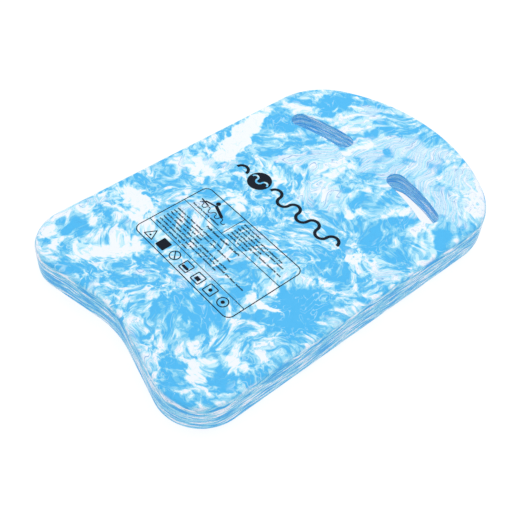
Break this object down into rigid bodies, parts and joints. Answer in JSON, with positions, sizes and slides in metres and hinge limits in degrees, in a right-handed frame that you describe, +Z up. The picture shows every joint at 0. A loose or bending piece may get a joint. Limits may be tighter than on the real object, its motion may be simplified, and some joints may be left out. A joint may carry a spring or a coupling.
{
  "type": "kickboard float",
  "caption": "Flat foam swimming float with a rounded nose, a waisted tail, curved hand slots and ink printing on its top face.",
  "frame": {"origin": "middle of the board's bounding box, on its flat bottom face", "axes": "+Z up out of the printed top face, +Y along the board towards the rounded nose with the hand slots, +X across the board to the right when the nose points away"},
  "size_m": [0.28, 0.44, 0.035],
  "materials": {
    "marbled_foam": "closed-cell EVA foam, sky blue marbled with white, satin",
    "black_ink": "matt black screen-printing ink"
  },
  "bodies": {
    "root": {"foam_board": "marbled_foam", "printed_emblem": "black_ink", "printed_frame": "black_ink", "printed_rows": "black_ink", "printed_swimmer": "black_ink", "printed_symbols": "black_ink"}
  },
  "joints": []
}
